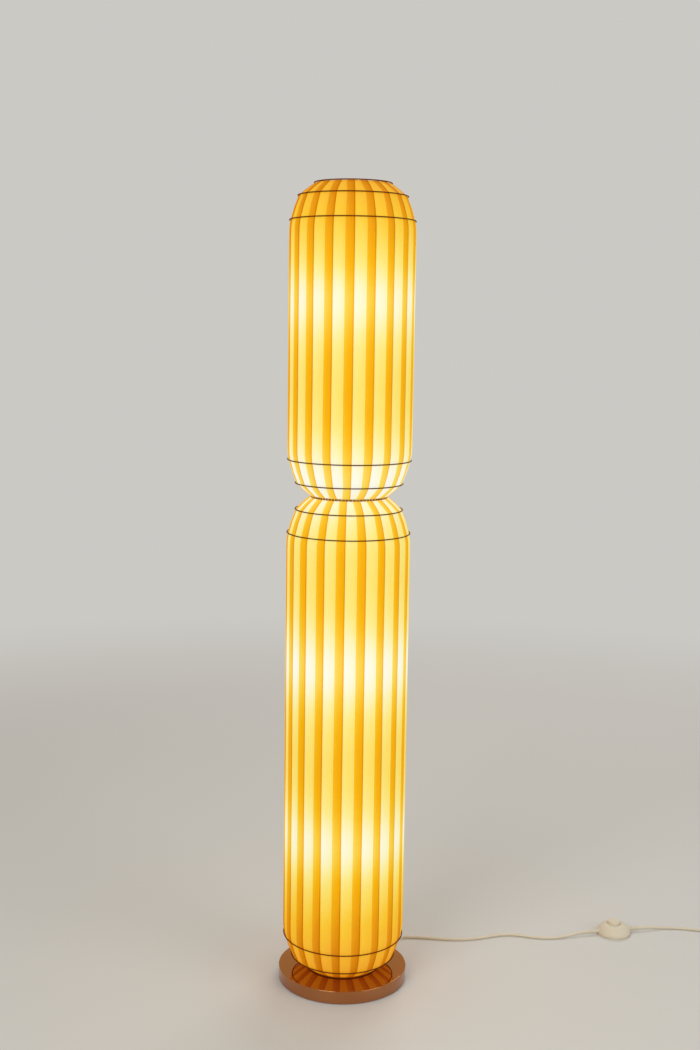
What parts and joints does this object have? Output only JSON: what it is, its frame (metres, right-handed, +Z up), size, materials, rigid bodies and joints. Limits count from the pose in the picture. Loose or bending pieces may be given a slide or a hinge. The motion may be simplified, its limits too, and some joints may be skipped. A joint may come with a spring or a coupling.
{
  "type": "lantern floor lamp",
  "caption": "Free-standing lamp with stacked pleated cloth lanterns on hooped wire frames over a round weighted base, with a foot switch and plug on its cord.",
  "frame": {"origin": "on the floor under the pole, at the centre of the base", "axes": "+Z up along the pole, +X to the right of someone facing the lamp, +Y away from them"},
  "size_m": [0.9891, 0.367, 1.5093],
  "materials": {
    "base_lacquer": "high-gloss reddish-brown lacquer",
    "iron": "rough cast, unpainted",
    "felt": "dark pressed felt",
    "zinc": "zinc-plated turned steel",
    "pole_white": "satin off-white powder coat",
    "brass": "turned brass",
    "wire_brown": "satin dark reddish-brown enamel",
    "shade_cloth": "ivory translucent paper-like cloth, knife pleated, lit from inside",
    "thread": "waxed brown thread",
    "module_metal": "spun and turned aluminium, matte",
    "board": "white solder mask",
    "opal": "opal diffusing plastic, lit",
    "wire_insulation": "soft insulation",
    "cord_ivory": "smooth ivory sheath",
    "relief_ivory": "soft ivory moulding",
    "switch_ivory": "ivory moulded plastic, semi-gloss",
    "switch_inside": "dark moulded plastic",
    "pin_metal": "nickel plate",
    "strap": "black hook-and-loop strap"
  },
  "bodies": {
    "lamp": {"base_cover": "base_lacquer", "base_weight": "iron", "base_felt": "felt", "base_washer": "zinc", "base_nut": "zinc", "pole_stud": "zinc", "lower_pole": "pole_white", "lower_coupler": "zinc", "middle_pole": "pole_white", "waist_coupler": "zinc", "upper_pole": "pole_white", "pole_top_plug": "zinc", "finial_nut": "brass", "bottom_spider": "wire_brown", "waist_spider": "wire_brown", "top_spider": "wire_brown", "upper_waist_ring": "wire_brown", "lower_foot_mid_hoop": "wire_brown", "lower_foot_hoop": "wire_brown", "lower_shoulder_hoop": "wire_brown", "lower_shoulder_mid_hoop": "wire_brown", "upper_foot_mid_hoop": "wire_brown", "upper_foot_hoop": "wire_brown", "upper_shoulder_hoop": "wire_brown", "upper_shoulder_mid_hoop": "wire_brown", "lower_shade": "shade_cloth", "upper_shade": "shade_cloth", "waist_lashing": "thread", "light_plate_1": "module_metal", "light_plate_2": "module_metal", "light_plate_3": "module_metal", "light_plate_4": "module_metal", "led_board_1": "board", "led_board_2": "board", "led_board_3": "board", "led_board_4": "board", "diffuser_1": "opal", "diffuser_2": "opal", "diffuser_3": "opal", "diffuser_4": "opal", "set_screws": "zinc", "module_leads": "wire_insulation", "inner_wire": "wire_insulation", "cord_gland": "relief_ivory", "lamp_cord": "cord_ivory", "plug_cord": "cord_ivory", "cord_coil": "cord_ivory", "cord_tail": "cord_ivory", "cord_tie": "strap", "plug_body": "switch_ivory", "plug_pins": "pin_metal", "switch_base": "switch_ivory", "switch_cover": "switch_ivory", "switch_spring": "zinc", "switch_block": "switch_inside", "switch_terminals": "brass", "switch_screws": "zinc", "switch_reliefs": "relief_ivory", "switch_leads": "wire_insulation"},
    "switch_button": {"switch_button": "switch_ivory"}
  },
  "joints": [
    {"name": "switch_press", "type": "slide", "parent": "lamp", "child": "switch_button", "axis": [0, 0, -1], "range_m": [0, 0.003], "stiffness_N_per_m": 2500, "springref_m": -0.003, "deforming": ["switch_spring"]}
  ]
}
